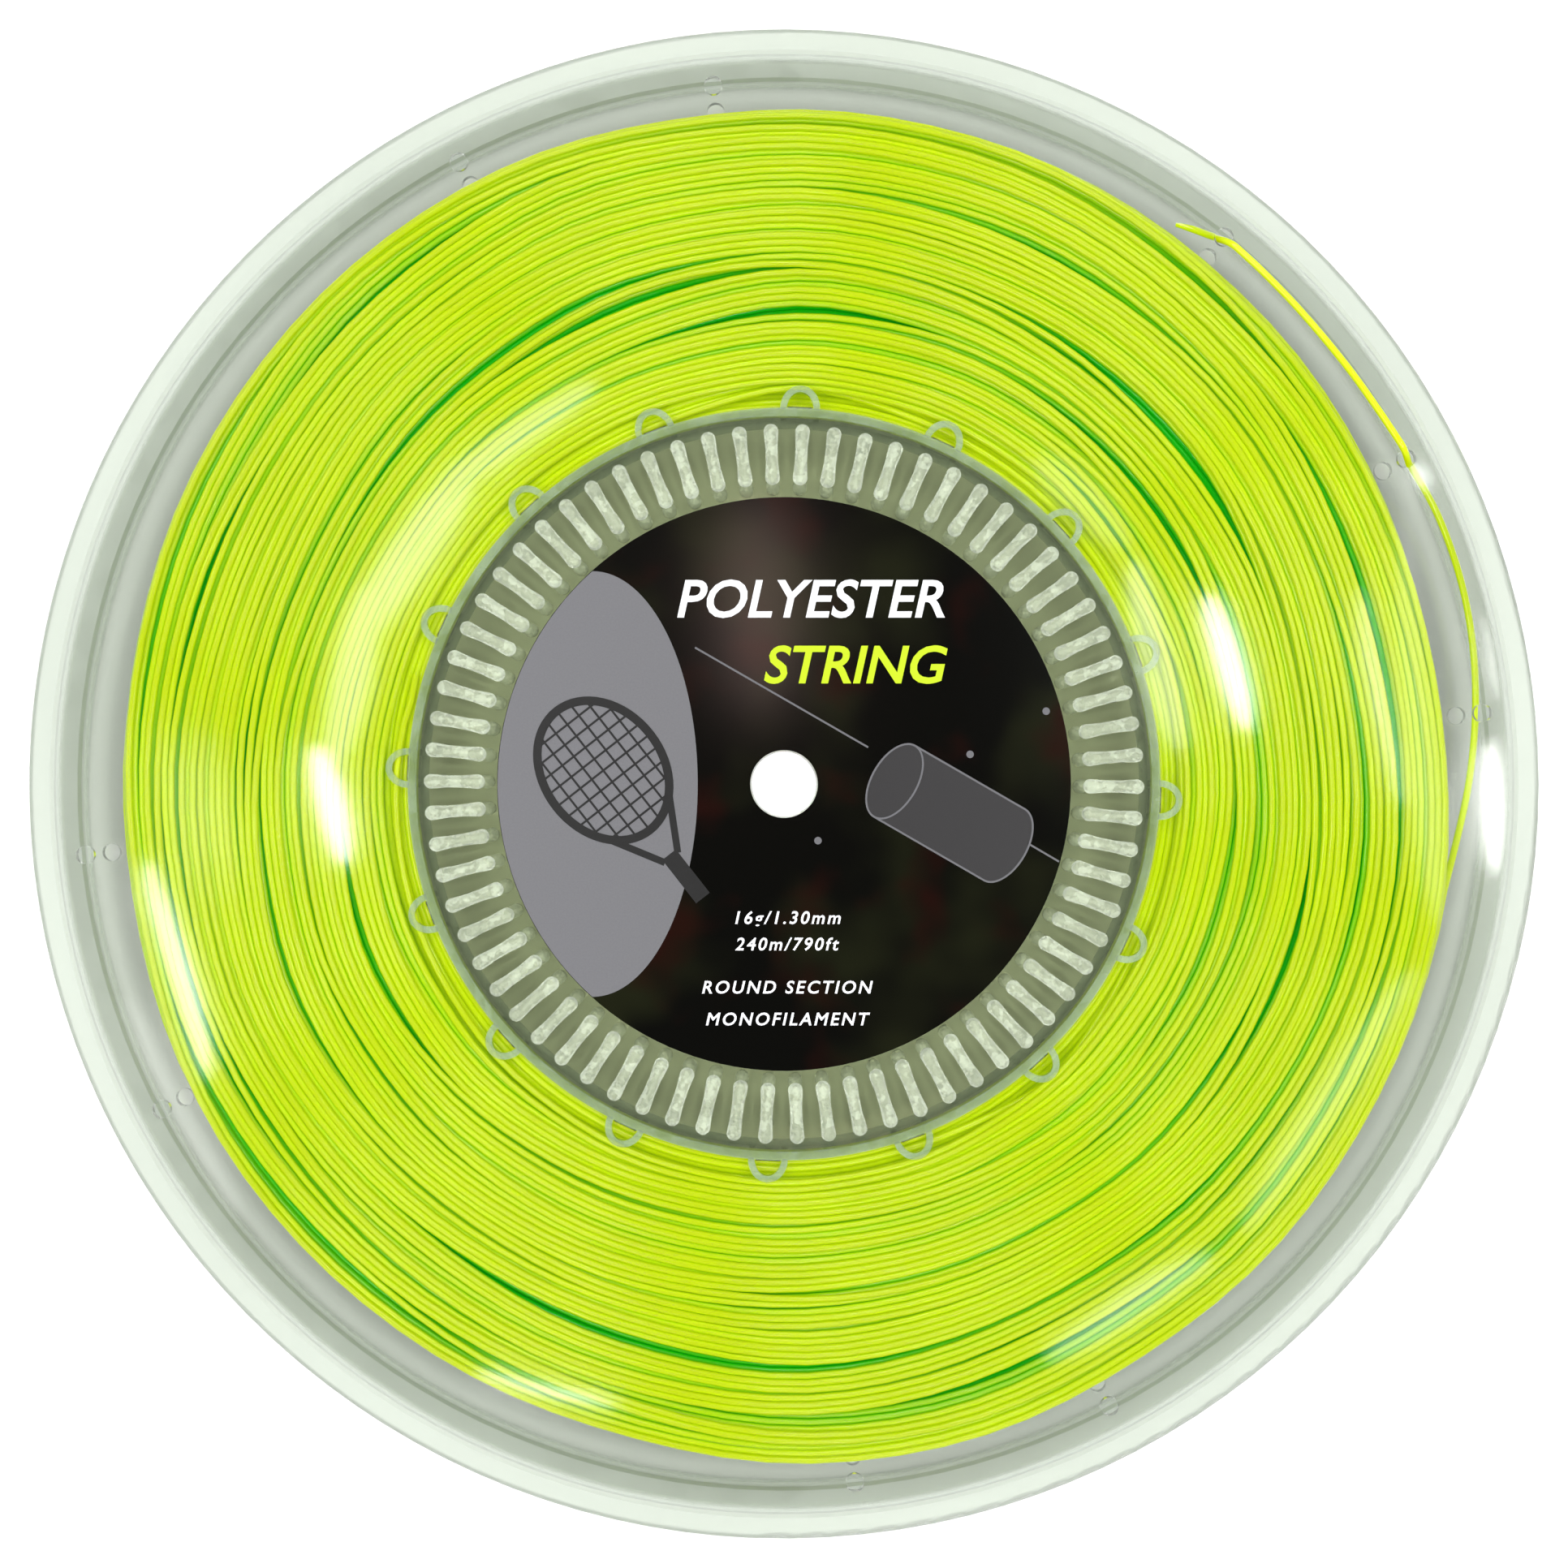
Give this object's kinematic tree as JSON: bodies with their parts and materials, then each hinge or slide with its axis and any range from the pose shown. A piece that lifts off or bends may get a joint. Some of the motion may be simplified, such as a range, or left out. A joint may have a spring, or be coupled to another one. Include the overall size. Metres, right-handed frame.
{
  "type": "string reel",
  "caption": "Clear flanged plastic reel wound with yellow-green racket string, with a printed round label and a spindle bore.",
  "frame": {"origin": "on the spindle axis, at the lowest face of the rear rim, where the reel lies on a table", "axes": "+Z along the spindle axis, out of the labelled front face; +Y is up for the label's print; +X to its right"},
  "size_m": [0.28, 0.28, 0.0213],
  "materials": {
    "clear_plastic": "clear moulded polystyrene",
    "string": "extruded polyester monofilament",
    "label": "printed, satin"
  },
  "bodies": {
    "root": {"rear_flange": "clear_plastic", "front_flange": "clear_plastic", "hub_drum": "clear_plastic", "string_winding": "string", "string_tail": "string", "front_label": "label"}
  },
  "joints": []
}
